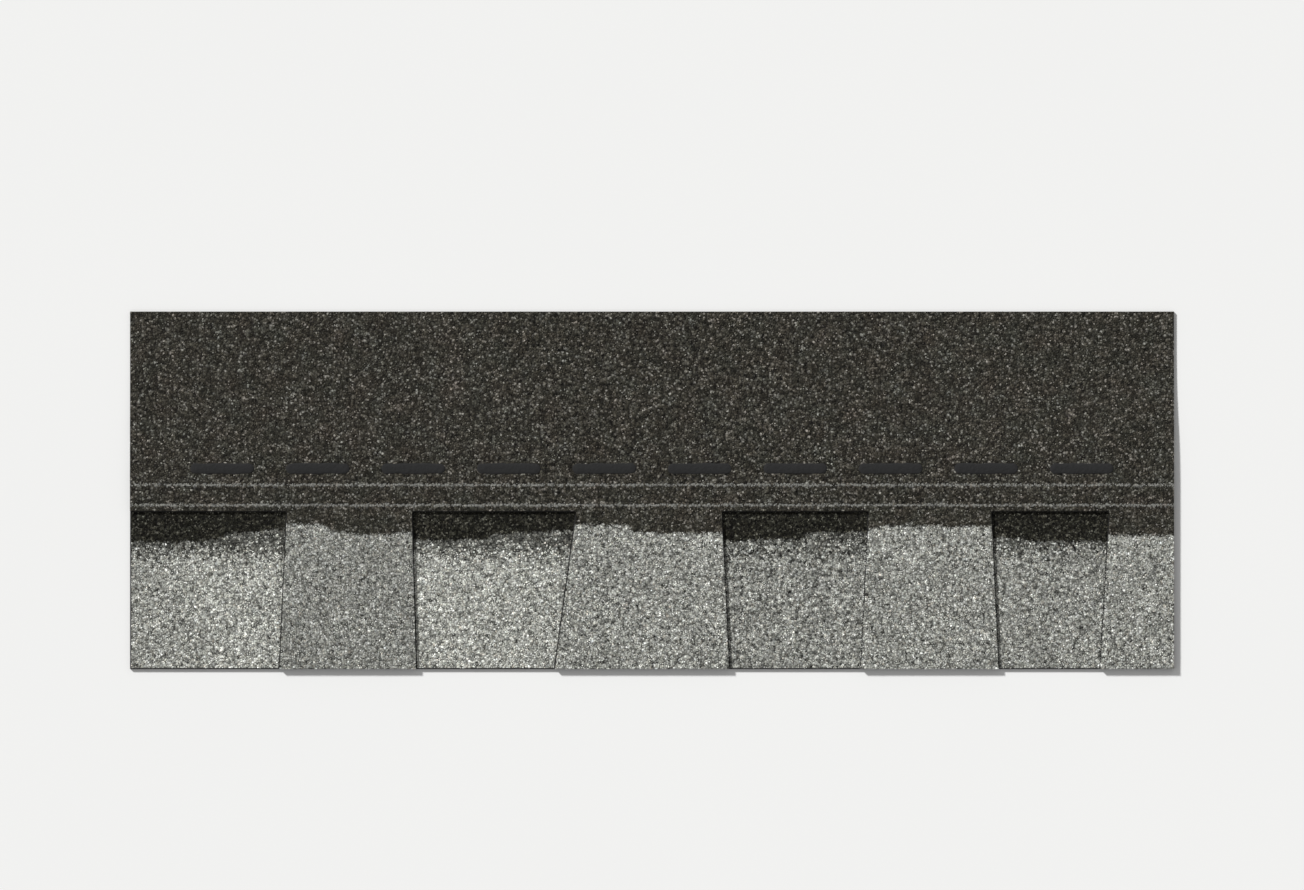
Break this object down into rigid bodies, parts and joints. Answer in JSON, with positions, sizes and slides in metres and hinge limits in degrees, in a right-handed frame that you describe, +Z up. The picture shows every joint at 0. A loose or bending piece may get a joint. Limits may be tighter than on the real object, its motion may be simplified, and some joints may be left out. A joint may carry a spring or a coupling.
{
  "type": "laminated asphalt shingle",
  "caption": "Laminated asphalt roof shingle: granule-faced top sheet with irregular splayed teeth, bonded over a backer strip, lying flat with its headlap on the floor.",
  "frame": {"origin": "middle of the bounding box at floor level, under the middle of the shingle", "axes": "+X along the width, left to right with the butt edge near the viewer; +Y from the butt edge to the headlap edge; +Z up, out of the granule face"},
  "size_m": [0.984, 0.337, 0.0062],
  "materials": {
    "face_granules": "matte mineral granules on asphalt",
    "backer_granules": "matte mineral granules on asphalt",
    "adhesive": "satin asphalt",
    "sealant": "glossy asphalt",
    "film": "thin glossy film"
  },
  "bodies": {
    "root": {"tooth_sheet": "face_granules", "backer_strip": "backer_granules", "laminating_adhesive": "adhesive", "sealant_strip": "sealant", "release_film": "film"}
  },
  "joints": []
}
